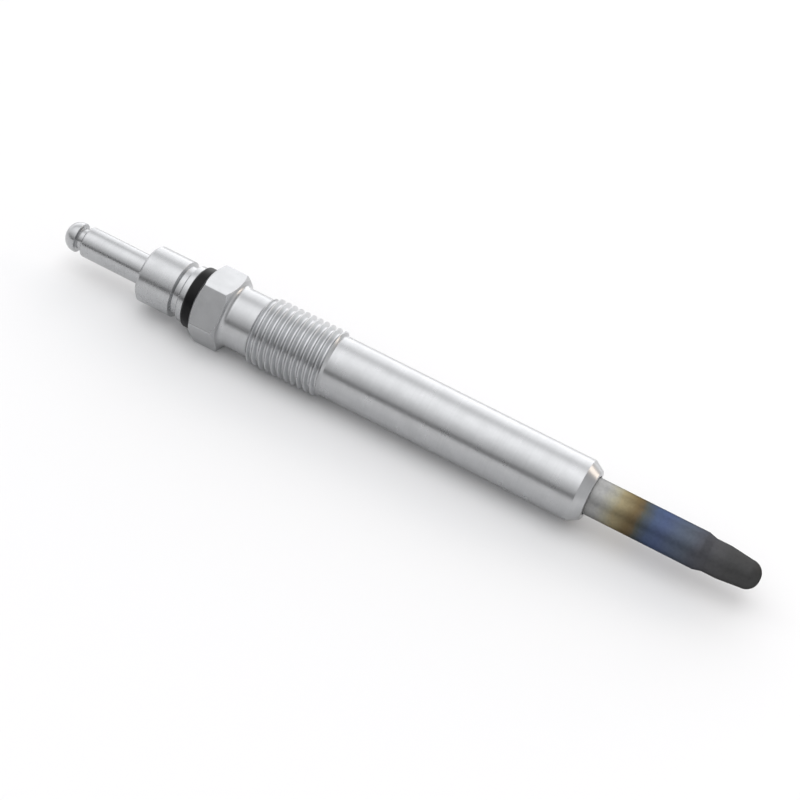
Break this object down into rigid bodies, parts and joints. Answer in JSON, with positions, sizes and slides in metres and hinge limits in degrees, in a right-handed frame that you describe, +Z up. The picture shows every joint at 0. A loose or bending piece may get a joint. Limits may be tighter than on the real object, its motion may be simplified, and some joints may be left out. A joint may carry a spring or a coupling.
{
  "type": "diesel glow plug",
  "caption": "Sheathed diesel glow plug: threaded hexagon shell with a long shank and sealing cone, heat-tinted glow tube with a domed tip, black insulating washer and headed terminal pin.",
  "frame": {"origin": "on the plug's axis, in the plane where the sealing cone leaves the shank", "axes": "+X along the axis towards the glowing tip, +Z up with a flat of the hexagon facing down"},
  "size_m": [0.1056, 0.0116, 0.01],
  "materials": {
    "shell_plating": "satin nickel plate with fine turning marks",
    "terminal_plating": "satin nickel plate with fine turning marks",
    "glow_tube_alloy": "nickel alloy with straw, brown and blue heat tint and a dark tip",
    "insulator": "moulded black plastic",
    "seal_rubber": "matt",
    "stud_steel": "drawn steel rod",
    "coil_wire": "drawn resistance wire",
    "filling_powder": "compacted magnesium oxide"
  },
  "bodies": {
    "root": {"shell": "shell_plating", "glow_tube": "glow_tube_alloy", "filling_powder": "filling_powder", "heating_coil": "coil_wire", "regulating_coil": "coil_wire", "heater_seal": "seal_rubber", "terminal_stud": "stud_steel", "double_gasket": "seal_rubber", "insulating_washer": "insulator", "terminal": "terminal_plating"}
  },
  "joints": []
}
